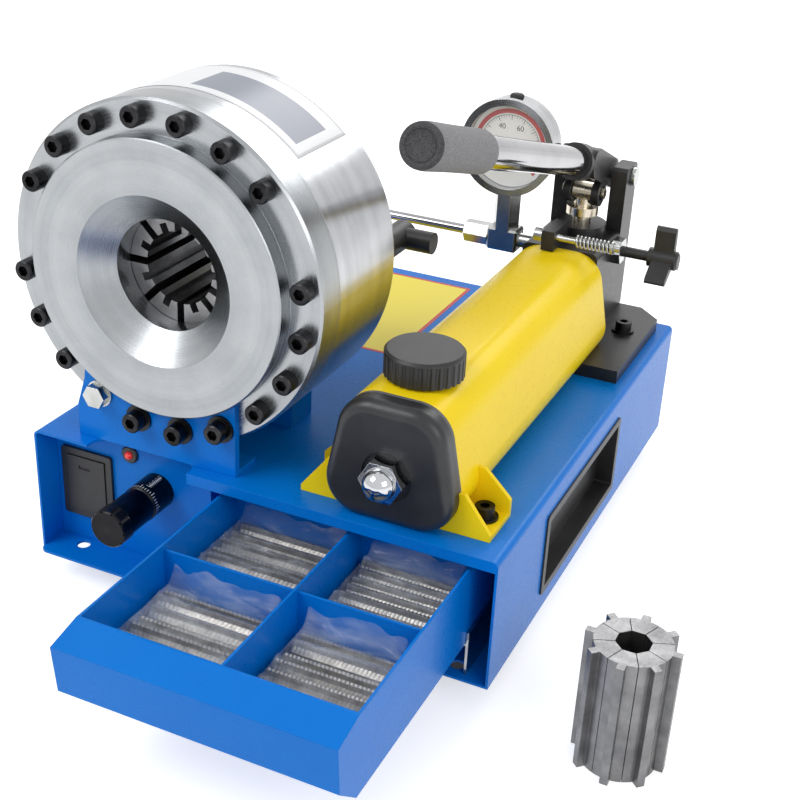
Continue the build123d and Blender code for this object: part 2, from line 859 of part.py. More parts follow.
def line_lug_low():
    """Underside of the spring rod's lug, just above the reservoir's crown."""
    return deck + tube_crown_z + tube_crown + 1


def pump_head():
    """Cast pump block on a flanged base, bored for the plunger."""
    x, y, z = pump_at(pump_base_start(), 0)
    half = pump_base_half
    y1 = y + pump_base_length
    plan = Plane.XY.offset(z) * Polygon([(x - half, y), (x + half, y), (x + half, y1 - pump_base_corner),
                                         (x + half - pump_base_corner, y1),
                                         (x - half + pump_base_corner, y1),
                                         (x - half, y1 - pump_base_corner)], align=None)
    sole = extrude(plan, pump_base_height)
    sole -= extrude(facing(x, front + tube_end, z) * tube_bed(), pump_base_length)
    rear = front + block_rear
    start = front + tube_end
    side = Polygon([(start, z), (rear, z), (rear, z + 20), (rear - 8, z + block_height),
                    (start, z + block_height)], align=None)
    casting = extrude(side_view(x - block_half, 0, 0) * side, 2 * block_half)
    casting = fillet(casting.edges().filter_by(Axis.Y).group_by(Axis.Z)[-1], 6)
    for side_sign in (-1, 1):
        post_side = side_sign * post_gap
        casting -= block(x + min(post_side, 3 * post_side), x + max(post_side, 3 * post_side),
                         front + post_start, rear + 1, z, z + block_height + 1)
    casting += sole
    lug_x = x - rod_lug - 2
    lug = block(lug_x, lug_x + rod_lug, front + spring_rod_y - rod_lug / 2, start + 1,
                line_lug_low(), deck + spring_rod_z + rod_lug / 2)
    lug += block(lug_x, lug_x + rod_lug, start, start + 2 * rod_lug, z + block_height - 6,
                 deck + spring_rod_z + rod_lug / 2)
    casting += lug
    casting -= rod_x(spring_rod_radius + piston_fit, lug_x - 1, lug_x + rod_lug + 1,
                     front + spring_rod_y, deck + spring_rod_z)
    knob_side, knob_place_y, knob_place_z = pump_at(knob_y, knob_z)
    casting -= rod_x(knob_stem_radius + pin_fit, knob_side + block_half - knob_stem_depth - 1,
                     knob_side + block_half + 1, knob_place_y, knob_place_z)
    gland_top = z + block_height + gland_height
    casting += rod_z(gland_radius, z + block_height - 5, gland_top, x, front + plunger_y)
    casting -= rod_z(plunger_radius + piston_fit, z + plunger_bore_floor, gland_top + 1, x, front + plunger_y)
    for side in (-1, 1):
        casting -= rod_z(6, z - 1, z + pump_base_height + 1, x + side * pump_bolt_x, front + pump_bolt_y)
    return casting


def mounting_bolts():
    """Hex bolts and washers that hold the pump head and its front foot to the deck."""
    bolts = []
    x = left + pump_x
    for reach, y, seat in bolt_spots():
        for side in (-1, 1):
            bolt_x = x + side * reach
            washer = rod_z(10.5, seat, seat + 2, bolt_x, y)
            head = rod_z(7.5, seat + 2, seat + 10, bolt_x, y)
            socket = Plane.XY.offset(seat + 6) * Pos(bolt_x, y) * RegularPolygon(4, 6)
            shank = rod_z(bolt_radius, deck - 10, seat + 2, bolt_x, y)
            bolts.append(washer + head - extrude(socket, 5) + shank)
    return Compound(children=bolts)


def fulcrum_posts():
    """Two side plates on the pump block that carry the lever's fulcrum pin."""
    x, y, z = pump_at(fulcrum_y, fulcrum_z)
    posts = []
    for side in (-1, 1):
        inner = x + side * post_gap
        outer = inner + side * post_thickness
        x0, x1 = min(inner, outer), max(inner, outer)
        foot = deck + pump_base_height
        post = block(x0, x1, front + post_start, front + post_end, foot, z + post_head)
        post = chamfer(post.edges().filter_by(Axis.X).group_by(Axis.Z)[-1], 3)
        posts.append(post - rod_x(pin_radius, x0 - 1, x1 + 1, y, z))
    return Compound(children=posts)


def fulcrum_pin():
    x, y, z = pump_at(fulcrum_y, fulcrum_z)
    reach = post_gap + post_thickness + 4
    pin = rod_x(pin_radius - pin_fit, x - reach, x + reach, y, z)
    head = rod_x(pin_radius + 3, x + reach - 4 + slide_gap, x + reach, y, z)
    return pin + head


def plunger_pin_place():
    """The pin through lever and plunger, level with the plunger's axis."""
    return pump_at(plunger_y, fulcrum_z + plunger_pin_rise)


def plunger():
    x, y, z = plunger_pin_place()
    gland_top = deck + block_height + gland_height
    bottom = gland_top - 45
    rod = rod_z(plunger_radius, bottom, z - 6, x, y)
    collar = gland_top + drop() + 2
    rod += rod_z(collar_radius, collar, collar + collar_height, x, y)
    eye = rod_x(plunger_radius, x - cheek_gap + 1, x + cheek_gap - 1, y, z)
    pin = rod_x(plunger_pin_radius, x - cheek_gap - cheek_thickness - 3, x + cheek_gap + cheek_thickness + 3, y, z)
    return rod + eye + pin


def pin_arm():
    """Distance from the fulcrum to the plunger's pin."""
    return hypot(fulcrum_y - plunger_y, plunger_pin_rise)


def drop():
    """How far the plunger sinks when the lever is pressed down."""
    return plunger_ratio() * radians(lever_down)


def plunger_ratio():
    """Plunger travel for each radian of the lever."""
    return pin_arm() * 0.96


def handle_axis(distance):
    """A point on the handle's axis, measured from above the fulcrum towards the front."""
    x, y, z = pump_at(fulcrum_y, fulcrum_z)
    pitch = radians(lever_pitch)
    y0 = y - handle_axis_lift * sin(pitch)
    z0 = z + handle_axis_lift * cos(pitch)
    return Vector(x, y0 - distance * cos(pitch), z0 + distance * sin(pitch))


def along_handle(radius, start, end):
    """A round bar on the handle's axis."""
    a, b = handle_axis(start), handle_axis(end)
    plane = Plane(origin=a, x_dir=(1, 0, 0), z_dir=b - a)
    return extrude(plane * Circle(radius), end - start)


def socket_start():
    return (fulcrum_y - lever_socket_start) / cos(radians(lever_pitch))


def socket_root():
    """Where the handle tube ends inside the lever's socket."""
    return socket_start() - lever_socket_depth


def lever_frame():
    """A side view whose first axis runs along the handle, from the fulcrum to the front."""
    x, y, z = pump_at(fulcrum_y, fulcrum_z)
    pitch = radians(lever_pitch)
    return Plane(origin=(x, y, z), x_dir=(0, -cos(pitch), sin(pitch)), z_dir=(-1, 0, 0))


def handle_lever():
    """Forked lever: socket for the handle tube, two cheeks and the fulcrum eye."""
    frame = lever_frame()
    mouth = socket_start()
    root = socket_root()
    reach = cheek_gap + cheek_thickness
    lift = handle_axis_lift
    outline = make_hull((Circle(lever_eye_radius) + Pos(root, lift) * Circle(lever_socket_radius - 3)).edges())
    outline += pin_track(plunger_pin_radius + pin_slot_clearance + pin_slot_wall)
    body = extrude(frame * outline, reach, both=True)
    fork_end = root - lever_web
    fork = frame * Pos((fork_end - pin_radius) / 2, lift) * Rectangle(fork_end + pin_radius, 5 * lever_socket_radius)
    body -= extrude(fork, cheek_gap, both=True)
    body += along_handle(lever_socket_radius, root - 4, mouth)
    body -= along_handle(handle_tube_radius, root, mouth + 1)
    slot = frame * pin_track(plunger_pin_radius + pin_slot_clearance)
    body -= extrude(slot, reach + 5, both=True)
    body -= extrude(frame * Circle(pin_radius + pin_fit), reach + 5, both=True)
    tail = extrude(frame * Circle(lever_eye_radius), cheek_gap, both=True)
    tail -= extrude(frame * Circle(pin_radius + pin_fit), reach + 5, both=True)
    return body + tail


def pin_in_lever(raised):
    """Place of the plunger's pin in the lever's frame, with the lever raised by that angle."""
    tilt = radians(lever_pitch + raised)
    along = fulcrum_y - plunger_y
    up = plunger_pin_rise + plunger_ratio() * radians(raised)
    return along * cos(tilt) + up * sin(tilt), up * cos(tilt) - along * sin(tilt)


def pin_track(radius):
    """A slot of that radius along the way the plunger's pin takes through the lever."""
    steps = 5
    circles = Pos(*pin_in_lever(-lever_down)) * Circle(radius)
    for step in range(1, steps + 1):
        raised = -lever_down + (lever_up + lever_down) * step / steps
        circles += Pos(*pin_in_lever(raised)) * Circle(radius)
    return make_hull(circles.edges())


def handle_tube():
    start = socket_root() + slide_gap
    tube = along_handle(handle_tube_radius, start, start + handle_tube_length)
    return tube - along_handle(handle_tube_radius - 3, start + 1, start + handle_tube_length + 1)


def handle_grip():
    end = socket_root() + slide_gap + handle_tube_length + 3
    grip = along_handle(grip_radius, end - grip_length, end)
    grip = chamfer(grip.faces().sort_by(Axis.Y)[0].edges(), 2)
    return grip - along_handle(handle_tube_radius, end - grip_length - 1, end - 3)


def release_knob():
    """Valve stem with a three-winged knob on the pump block's right side."""
    x, y, z = pump_at(knob_y, knob_z)
    x += block_half
    start = x + knob_stem_length
    knob = rod_x(knob_stem_radius, x - knob_stem_depth, start + 1, y, z)
    hub = rod_x(knob_hub_radius, start, start + knob_hub_length, y, z)
    knob += chamfer(hub.edges().group_by(Axis.X)[-1], 2)
    root, tip = knob_wing_root / 2, knob_wing_thickness / 2
    shape = Polygon([(0, -root), (knob_wing_reach - tip, -tip), (knob_wing_reach, -tip / 3),
                     (knob_wing_reach, tip / 3), (knob_wing_reach - tip, tip), (0, root)], align=None)
    for wing in range(3):
        sketch = side_view(start + knob_wing_root / 2, y, z) * Rot(0, 0, 90 + wing * 120) * shape
        knob += extrude(sketch, knob_wing_length)
    return knob


def valve_gland():
    x, y, z = pump_at(knob_y, knob_z)
    x += block_half
    nut = hexagon_x(22, x, x + 9, y, z)
    return nut - rod_x(knob_stem_radius + pin_fit, x - 1, x + 10, y, z)


# ---- pressure line --------------------------------------------------------

def tee_fitting():
    """Tee on the pump block's side that feeds the pipe and carries the gauge's stem."""
    x, y, z = left + line_x, front + line_y, line_height()
    tee = block(x - tee_half, x + tee_half, y - 11, y + 11, z - 11, z + 11)
    tee = chamfer(tee.edges(), 2)
    stem = Pos(x, y) * RegularPolygon(stem_flats / 2, 6, major_radius=False)
    tee += extrude(Plane.XY.offset(z + 9) * stem, gauge_z - line_z - 9)
    tee -= rod_y(gauge_radius, y - gauge_depth, y + gauge_depth, x, deck + gauge_z)
    tee -= rod_y(gauge_radius + gauge_flange, y - gauge_depth, y - gauge_depth / 2 + gauge_flange_depth, x, deck + gauge_z)
    return tee + rod_x(stem_radius, x + tee_half - 1, left + pump_x - block_half, y, z)


def pressure_pipe():
    x, y, z = left + line_x, front + line_y, line_height()
    path = FilletPolyline((x - tee_half, y, z), (port_x, y, z), (port_x, chamber_rear + 2, z),
                          radius=pipe_bend)
    section = Plane(origin=(x - tee_half, y, z), x_dir=(0, 1, 0), z_dir=(-1, 0, 0)) * Circle(pipe_radius)
    return sweep(section, path)


def pipe_nuts():
    x, y, z = left + line_x, front + line_y, line_height()
    first = hexagon_x(pipe_nut_flats, x - tee_half - 24, x - tee_half, y, z)
    first -= rod_x(pipe_radius + 0.1, x - tee_half - 25, x - tee_half + 1, y, z)
    second = hexagon_y(pipe_nut_flats, cylinder_rear, cylinder_rear + 16, port_x, z)
    second -= rod_y(pipe_radius + 0.1, cylinder_rear - 1, cylinder_rear + 17, port_x, z)
    return Compound(children=[first, second])


def gauge_centre():
    return left + line_x, front + line_y, deck + gauge_z


def gauge_case():
    x, y, z = gauge_centre()
    y0, y1 = y - gauge_depth / 2, y + gauge_depth / 2
    case = rod_y(gauge_radius, y0, y1, x, z)
    case = fillet(case.edges().group_by(Axis.Y)[-1], 5)
    case += rod_y(gauge_radius + gauge_flange, y0, y0 + gauge_flange_depth, x, z)
    case -= rod_y(gauge_radius - gauge_rim, y0 - 1, y0 + 12, x, z)
    return case


def gauge_dial():
    x, y, z = gauge_centre()
    y0 = y - gauge_depth / 2 + 9
    dial = rod_y(gauge_radius - gauge_rim - slide_gap, y0, y0 + 2, x, z)
    return dial + rod_y(1.5, y0 - 3.5, y0, x, z)


def gauge_lens():
    x, y, z = gauge_centre()
    y0 = y - gauge_depth / 2
    return rod_y(gauge_radius - gauge_rim - slide_gap, y0 + 1, y0 + 1 + gauge_glass, x, z)


def gauge_pointer():
    x, y, z = gauge_centre()
    y0 = y - gauge_depth / 2 + 6
    hub = rod_y(4, y0, y0 + 1.6, x, z)
    needle = Polygon([(-1.6, -10), (1.6, -10), (0.4, gauge_radius - 16), (-0.4, gauge_radius - 16)],
                     align=None)
    needle = extrude(facing(x, y0 + 1.6, z) * Rot(0, 0, 135) * needle, 1)
    return hub + needle - rod_y(1.5 + pin_fit, y0 - 1, y0 + 3, x, z)


def rod_right_end():
    return left + pump_x + block_half + 22


def spring_rod():
    """Cross rod through the pump block's lug, with its head and end collar."""
    x, y, z = pump_at(spring_rod_y, spring_rod_z)
    end = rod_right_end()
    rod = rod_x(spring_rod_radius, x - rod_lug - 10, end, y, z)
    head = rod_x(spring_rod_radius + 3, x - rod_lug - 10, x - rod_lug - 2 - slide_gap, y, z)
    collar = rod_x(spring_radius, end - rod_collar_inset, end - rod_collar_inset + 2, y, z)
    return rod + head + collar


def coil_spring():
    """Compression spring on the cross rod, drawn as closed turns against the collar."""
    x, y, z = pump_at(spring_rod_y, spring_rod_z)
    end = rod_right_end() - rod_collar_inset
    start = end - spring_length
    wire = spring_radius - spring_rod_radius
    pitch = spring_length / spring_turns
    spring = rod_x(spring_rod_radius + wire / 2, start, end, y, z)
    for turn in range(spring_turns):
        at = start + turn * pitch
        spring += rod_x(spring_radius, at, at + pitch * 0.6, y, z)
    return spring - rod_x(spring_rod_radius, start - 1, end + 1, y, z)


# ---- loose die set --------------------------------------------------------

def standing_die_set():
    """Eight keyed die segments stood together as a set beside the base."""
    x, y, z = left + die_set_x, front + die_set_y, floor_z
    segments = []
    half = radians(sector / 2)
    for index in range(die_count):
        inner, outer = 4, die_set_radius + 10
        gap = 0.25 / cos(half)
        wedge = Polygon([(inner, gap - inner * tan(half)), (outer, gap - outer * tan(half)),
                         (outer, outer * tan(half) - gap), (inner, inner * tan(half) - gap)],
                        align=None)
        segment = Circle(die_set_radius) & wedge
        segment += Pos(die_set_radius, 0) * Rectangle(2 * die_key_depth - 2, die_key_width)
        bore = RegularPolygon(die_set_bore, die_count, rotation=sector / 2)
        solid = extrude(segment - bore, die_set_length)
        segments.append(Pos(x, y, z) * Rot(0, 0, index * sector) * solid)
    return Compound(children=segments)


def pieces():
    """Every node of the model, by name."""
    yield "base_shell", base_shell()
    yield "base_floor", base_floor()
    yield "rubber_feet", rubber_feet()
    yield "control_panel", control_panel()
    yield "carry_handle_left", carry_handle(-1)
    yield "carry_handle_right", carry_handle(1)
    yield "battery_housing", battery_housing()
    yield "battery_tray", battery_tray()
    yield "indicator_lamp", indicator_lamp()
    yield "micrometer_sleeve", micrometer_sleeve()
    yield "micrometer_thimble", micrometer_thimble()
    yield "micrometer_spindle", micrometer_spindle()
    yield "front_cover", front_cover()
    yield "head_body", head_body()
    yield "rear_cylinder", rear_cylinder()
    yield "rear_housing", rear_housing()
    yield "stroke_switch", stroke_switch()
    yield "cone_piston", cone_piston()
    for index in range(die_count):
        yield f"master_die_{index + 1}", master_die(index)
    yield "flange_screws", flange_screws()
    yield "front_bracket", front_bracket()
    yield "rear_saddle", rear_saddle()
    yield "drawer_tray", drawer_tray()
    yield "drawer_dividers", drawer_dividers()
    yield "drawer_runners", drawer_runners()
    bundles = [die_bundle(column, row) for column in (0, 1) for row in (0, 1)]
    yield "die_bags", Compound(children=bundles)
    yield "reservoir_tube", reservoir_tube()
    yield "reservoir_gasket", reservoir_gasket()
    yield "reservoir_cap", reservoir_cap()
    yield "cap_nut", cap_nut()
    yield "tie_rod", tie_rod()
    yield "filler_cap", filler_cap()
    yield "pump_foot", pump_foot()
    yield "pump_head", pump_head()
    yield "mounting_bolts", mounting_bolts()
    yield "fulcrum_posts", fulcrum_posts()
    yield "fulcrum_pin", fulcrum_pin()
    yield "plunger", plunger()
    yield "handle_lever", handle_lever()
    yield "handle_tube", handle_tube()
    yield "handle_grip", handle_grip()
    yield "release_knob", release_knob()
    yield "valve_gland", valve_gland()
    yield "tee_fitting", tee_fitting()
    yield "pressure_pipe", pressure_pipe()
    yield "pipe_nuts", pipe_nuts()
    yield "gauge_case", gauge_case()
    yield "gauge_dial", gauge_dial()
    yield "gauge_lens", gauge_lens()
    yield "gauge_pointer", gauge_pointer()
    yield "spring_rod", spring_rod()
    yield "coil_spring", coil_spring()
    yield "standing_die_set", standing_die_set()


os.makedirs("parts", exist_ok=True)
for name, shape in pieces():
    export_step(shape, f"parts/{name}.step")
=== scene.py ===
import bpy
import random
from math import cos, exp, hypot, pi, radians, sin
from mathutils import Matrix, Vector, noise


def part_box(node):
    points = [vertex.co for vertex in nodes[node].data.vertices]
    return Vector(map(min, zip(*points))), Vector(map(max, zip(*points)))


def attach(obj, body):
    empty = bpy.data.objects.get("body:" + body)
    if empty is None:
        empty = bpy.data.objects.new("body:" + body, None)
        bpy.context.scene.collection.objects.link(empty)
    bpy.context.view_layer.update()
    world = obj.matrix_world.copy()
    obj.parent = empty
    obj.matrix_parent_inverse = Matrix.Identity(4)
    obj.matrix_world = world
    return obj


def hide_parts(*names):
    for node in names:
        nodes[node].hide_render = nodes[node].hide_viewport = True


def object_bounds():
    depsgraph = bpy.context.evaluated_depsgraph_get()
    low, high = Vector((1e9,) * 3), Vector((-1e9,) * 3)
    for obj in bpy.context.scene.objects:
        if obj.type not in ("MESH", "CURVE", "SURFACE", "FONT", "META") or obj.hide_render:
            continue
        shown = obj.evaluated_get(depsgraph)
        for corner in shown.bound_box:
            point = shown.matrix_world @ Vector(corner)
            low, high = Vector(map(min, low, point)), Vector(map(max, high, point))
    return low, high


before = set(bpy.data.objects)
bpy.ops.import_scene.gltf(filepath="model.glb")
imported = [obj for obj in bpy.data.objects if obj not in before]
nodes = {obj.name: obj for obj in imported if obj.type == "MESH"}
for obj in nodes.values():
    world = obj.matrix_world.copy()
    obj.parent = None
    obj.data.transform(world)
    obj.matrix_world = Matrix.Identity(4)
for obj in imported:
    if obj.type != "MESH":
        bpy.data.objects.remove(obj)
cad_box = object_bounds()
scene = bpy.context.scene
MM = 0.001


# ---- node materials --------------------------------------------------------

def wire(tree, socket, value):
    """Sets a socket to a constant, or links it to another node's output."""
    if isinstance(value, bpy.types.NodeSocket):
        tree.links.new(value, socket)
    elif isinstance(value, tuple) and socket.type == "RGBA" and len(value) == 3:
        socket.default_value = (*value, 1)
    else:
        socket.default_value = value


def node(tree, kind, inputs=(), **settings):
    """Adds a shader node. inputs maps a socket's name or number to a constant or an output."""
    made = tree.nodes.new("ShaderNode" + kind)
    for name, value in settings.items():
        setattr(made, name, value)
    for name, value in dict(inputs).items():
        wire(tree, made.inputs[name], value)
    return made


def math(tree, operation, a, b=0.0, clamp=False):
    made = node(tree, "Math", {0: a, 1: b}, operation=operation, use_clamp=clamp)
    return made.outputs[0]


def place(tree, stretch=(1, 1, 1)):
    """The point in the part's frame, stretched."""
    where = node(tree, "TexCoord").outputs["Object"]
    return node(tree, "Mapping", {"Vector": where, "Scale": stretch}).outputs[0]


def grain(tree, size, detail=3.0, stretch=(1, 1, 1), roughness=0.55):
    """Noise whose features are size metres across."""
    made = node(tree, "TexNoise", {"Vector": place(tree, stretch), "Scale": 1 / size,
                                   "Detail": detail, "Roughness": roughness})
    return made.outputs["Fac"]


def blend(tree, factor, low, high):
    """A colour between two others."""
    made = node(tree, "Mix", {"Factor": factor, "A": low, "B": high}, data_type="RGBA")
    return made.outputs["Result"]


def span(tree, value, low, high, out_low=0.0, out_high=1.0):
    made = node(tree, "MapRange", {"Value": value, "From Min": low, "From Max": high,
                                   "To Min": out_low, "To Max": out_high})
    return made.outputs[0]


def edge_normal(tree, radius):
    """A normal that rounds sharp edges a little."""
    return node(tree, "Bevel", {"Radius": radius}, samples=4).outputs[0]


def bumped(tree, height, depth, normal=None):
    inputs = {"Height": height, "Distance": depth, "Strength": 1.0}
    if normal is not None:
        inputs["Normal"] = normal
    return node(tree, "Bump", inputs).outputs[0]


def surface(name, build, **constants):
    """A material with one Principled shader. build(tree) returns the linked sockets."""
    material = bpy.data.materials.new(name)
    material.use_nodes = True
    tree = material.node_tree
    tree.nodes.clear()
    shader = node(tree, "BsdfPrincipled")
    for key, value in constants.items():
        wire(tree, shader.inputs[key.replace("_", " ")], value)
    for key, value in build(tree).items():
        wire(tree, shader.inputs[key], value)
    output = node(tree, "OutputMaterial", {"Surface": shader.outputs[0]})
    output.is_active_output = True
    return material


def enamel(name, colour, deep, edge=0.0009, peel=0.000003):
    """Gloss enamel on sheet steel: slight orange peel, dust and a little unevenness."""
    def build(tree):
        cloud = grain(tree, 0.09, 4)
        speck = grain(tree, 0.0035, 2)
        tone = blend(tree, span(tree, cloud, 0.35, 0.65), deep, colour)
        rough = span(tree, speck, 0.3, 0.7, 0.26, 0.34)
        normal = bumped(tree, grain(tree, 0.003, 1), peel, edge_normal(tree, edge))
        return {"Base Color": tone, "Roughness": rough, "Normal": normal}
    return surface(name, build, Coat_Weight=0.03, Coat_Roughness=0.1, Specular_IOR_Level=0.14)


def turned(name, light, dark, rough, centre=(0.0, 0.0), grooves=0.00035, depth=0.000004, spread=0.09):
    """Steel turned about an axis along Y: fine rings on its faces and round its sides."""
    def build(tree):
        split = node(tree, "SeparateXYZ", {0: node(tree, "TexCoord").outputs["Object"]})
        dx = math(tree, "SUBTRACT", split.outputs[0], centre[0])
        dz = math(tree, "SUBTRACT", split.outputs[2], centre[1])
        reach = math(tree, "SQRT", math(tree, "ADD", math(tree, "MULTIPLY", dx, dx),
                                        math(tree, "MULTIPLY", dz, dz)))
        line = node(tree, "CombineXYZ", {0: reach, 1: split.outputs[1]}).outputs[0]
        rings = node(tree, "TexNoise", {"Vector": line, "Scale": 1 / grooves, "Detail": 2.0}).outputs["Fac"]
        broad = node(tree, "TexNoise", {"Vector": line, "Scale": 90.0, "Detail": 4.0}).outputs["Fac"]
        cloud = grain(tree, 0.035, 5)
        mixed = math(tree, "ADD", math(tree, "MULTIPLY", broad, 0.5), math(tree, "MULTIPLY", cloud, 0.5))
        tone = blend(tree, span(tree, mixed, 0.38, 0.62), dark, light)
        roughness = span(tree, rings, 0.3, 0.7, rough - spread / 2, rough + spread / 2)
        normal = bumped(tree, rings, depth, edge_normal(tree, 0.0008))
        around = node(tree, "Tangent", direction_type="RADIAL", axis="Y").outputs[0]
        return {"Base Color": tone, "Roughness": roughness, "Normal": normal, "Tangent": around}
    return surface(name, build, Metallic=1.0, Anisotropic=0.55)


def metal(name, light, dark, rough, grit=0.0012, depth=0.00001, edge=0.0005, cloud=0.02):
    """Machined, plated or cast metal with small scale unevenness."""
    def build(tree):
        tone = blend(tree, span(tree, grain(tree, cloud, 5), 0.35, 0.65), dark, light)
        fine = grain(tree, grit, 3)
        normal = bumped(tree, fine, depth, edge_normal(tree, edge))
        return {"Base Color": tone, "Roughness": span(tree, fine, 0.3, 0.7, rough * 0.75, rough * 1.25),
                "Normal": normal}
    return surface(name, build, Metallic=1.0)


def moulded(name, colour, pale, rough, grit=0.0008, depth=0.00003, edge=0.0006, **constants):
    """Moulded plastic, rubber or cast iron under paint, with a fine texture."""
    def build(tree):
        fine = grain(tree, grit, 2)
        tone = blend(tree, span(tree, grain(tree, 0.03, 4), 0.4, 0.7), colour, pale)
        normal = bumped(tree, fine, depth, edge_normal(tree, edge))
        return {"Base Color": tone, "Roughness": span(tree, fine, 0.3, 0.7, rough - 0.06, rough + 0.06),
                "Normal": normal}
    return surface(name, build, **constants)


def sleeve_foam(name, low, high):
    """Foam rubber: closed cells and pits."""
    def build(tree):
        cells = node(tree, "TexVoronoi", {"Vector": place(tree), "Scale": 900.0}).outputs["Distance"]
        soft = grain(tree, 0.0016, 4)
        mixed = math(tree, "ADD", math(tree, "MULTIPLY", cells, 0.6), soft)
        tone = blend(tree, span(tree, mixed, 0.4, 1.0), low, high)
        return {"Base Color": tone, "Normal": bumped(tree, mixed, 0.00025)}
    return surface(name, build, Roughness=0.85)


def clear_film(name):
    """Thin clear bag film: nearly see-through, a little milky in long soft streaks."""
    def build(tree):
        streaks = grain(tree, 0.016, 3, stretch=(0.35, 1.3, 1.0))
        veil = span(tree, streaks, 0.42, 0.72, 0.07, 0.3)
        ripple = grain(tree, 0.009, 3, stretch=(0.5, 1.2, 1.0))
        return {"Alpha": veil, "Normal": bumped(tree, ripple, 0.0011)}
    return surface(name, build, Base_Color=(0.86, 0.9, 0.94), Roughness=0.1, Specular_IOR_Level=0.9)


def plain(name, colour, rough, speck=0.0006, depth=0.000008, **constants):
    """Printed card, film or lamp plastic."""
    def build(tree):
        fine = grain(tree, speck, 2)
        tone = blend(tree, span(tree, fine, 0.2, 0.8), tuple(c * 0.93 for c in colour), colour)
        return {"Base Color": tone, "Normal": bumped(tree, fine, depth)}
    return surface(name, build, Roughness=rough, **constants)


knob_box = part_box("micrometer_thimble")
knob_axis = ((knob_box[0].x + knob_box[1].x) / 2, (knob_box[0].z + knob_box[1].z) / 2)
gauge_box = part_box("gauge_case")
gauge_axis = ((gauge_box[0].x + gauge_box[1].x) / 2, (gauge_box[0].z + gauge_box[1].z) / 2)

BLUE = enamel("blue_enamel", (0.0, 0.185, 0.68), (0.0, 0.17, 0.64))
YELLOW = enamel("yellow_enamel", (0.99, 0.73, 0.008), (0.98, 0.705, 0.007))
HEAD = turned("turned_steel", (0.53, 0.54, 0.56), (0.41, 0.42, 0.44), 0.19)
COVER = turned("faced_steel", (0.4, 0.415, 0.43), (0.32, 0.335, 0.35), 0.27, depth=0.000007)
DIE = metal("die_steel", (0.26, 0.26, 0.265), (0.16, 0.16, 0.165), 0.38, depth=0.00002)
BAR = metal("ground_die_steel", (0.5, 0.48, 0.455), (0.3, 0.29, 0.28), 0.44, grit=0.0009, cloud=0.008)
CONE = metal("bright_steel", (0.6, 0.6, 0.62), (0.5, 0.5, 0.52), 0.3)
OXIDE = metal("black_oxide", (0.045, 0.045, 0.048), (0.02, 0.02, 0.022), 0.36, grit=0.0007)
ZINC = metal("zinc_plate", (0.54, 0.55, 0.54), (0.4, 0.41, 0.4), 0.22, depth=0.000002)
NICKEL = metal("nickel_plate", (0.72, 0.66, 0.54), (0.55, 0.49, 0.39), 0.24)
CHROME = metal("chrome_plate", (0.6, 0.61, 0.63), (0.52, 0.53, 0.55), 0.06, depth=0.000003, cloud=0.05)
PLATED = metal("chrome_tube", (0.42, 0.42, 0.44), (0.34, 0.34, 0.355), 0.08, depth=0.000003, cloud=0.05)
STAINLESS = turned("stainless", (0.6, 0.61, 0.62), (0.46, 0.47, 0.48), 0.16, centre=gauge_axis)
CASTING = moulded("black_casting", (0.012, 0.012, 0.013), (0.03, 0.03, 0.032), 0.38, 0.0016, 0.00012,
                  Coat_Weight=0.1, Coat_Roughness=0.2, Specular_IOR_Level=0.32)
CAP = moulded("black_cap", (0.016, 0.017, 0.019), (0.028, 0.029, 0.032), 0.36, 0.0011, 0.00006)
PLASTIC = moulded("black_plastic", (0.012, 0.012, 0.013), (0.022, 0.022, 0.023), 0.4)
RUBBER = moulded("black_rubber", (0.01, 0.01, 0.01), (0.02, 0.02, 0.02), 0.62)
GASKET = moulded("grey_rubber", (0.1, 0.1, 0.105), (0.16, 0.16, 0.165), 0.6)
ANODISED = turned("black_anodised", (0.03, 0.03, 0.032), (0.016, 0.016, 0.018), 0.3, centre=knob_axis,
                  grooves=0.0006)
FOAM = sleeve_foam("foam_rubber", (0.15, 0.15, 0.155), (0.28, 0.28, 0.29))
FOAM_SKIN = sleeve_foam("foam_rubber_end", (0.02, 0.02, 0.022), (0.075, 0.075, 0.08))
FILM = clear_film("bag_film")
LAMP = plain("red_lamp", (0.7, 0.02, 0.015), 0.15, Coat_Weight=0.6, Emission_Color=(1.0, 0.05, 0.03),
             Emission_Strength=0.25)
CARD = plain("dial_card", (0.93, 0.93, 0.92), 0.5)
RED = plain("red_ink", (0.62, 0.03, 0.025), 0.45)
BLACK = plain("black_ink", (0.015, 0.015, 0.016), 0.45)
WHITE = plain("white_ink", (0.8, 0.8, 0.8), 0.5)
GREY = plain("grey_film", (0.24, 0.26, 0.32), 0.32)
LABEL = plain("label_film", (0.82, 0.83, 0.85), 0.3)
YELLOW_FILM = plain("yellow_film", (0.93, 0.77, 0.03), 0.35)
GLASS = surface("gauge_glass", lambda tree: {"Normal": bumped(tree, grain(tree, 0.05, 1), 0.00002)},
                Base_Color=(0.95, 0.97, 1.0), Alpha=0.06, Roughness=0.03, Specular_IOR_Level=0.8)

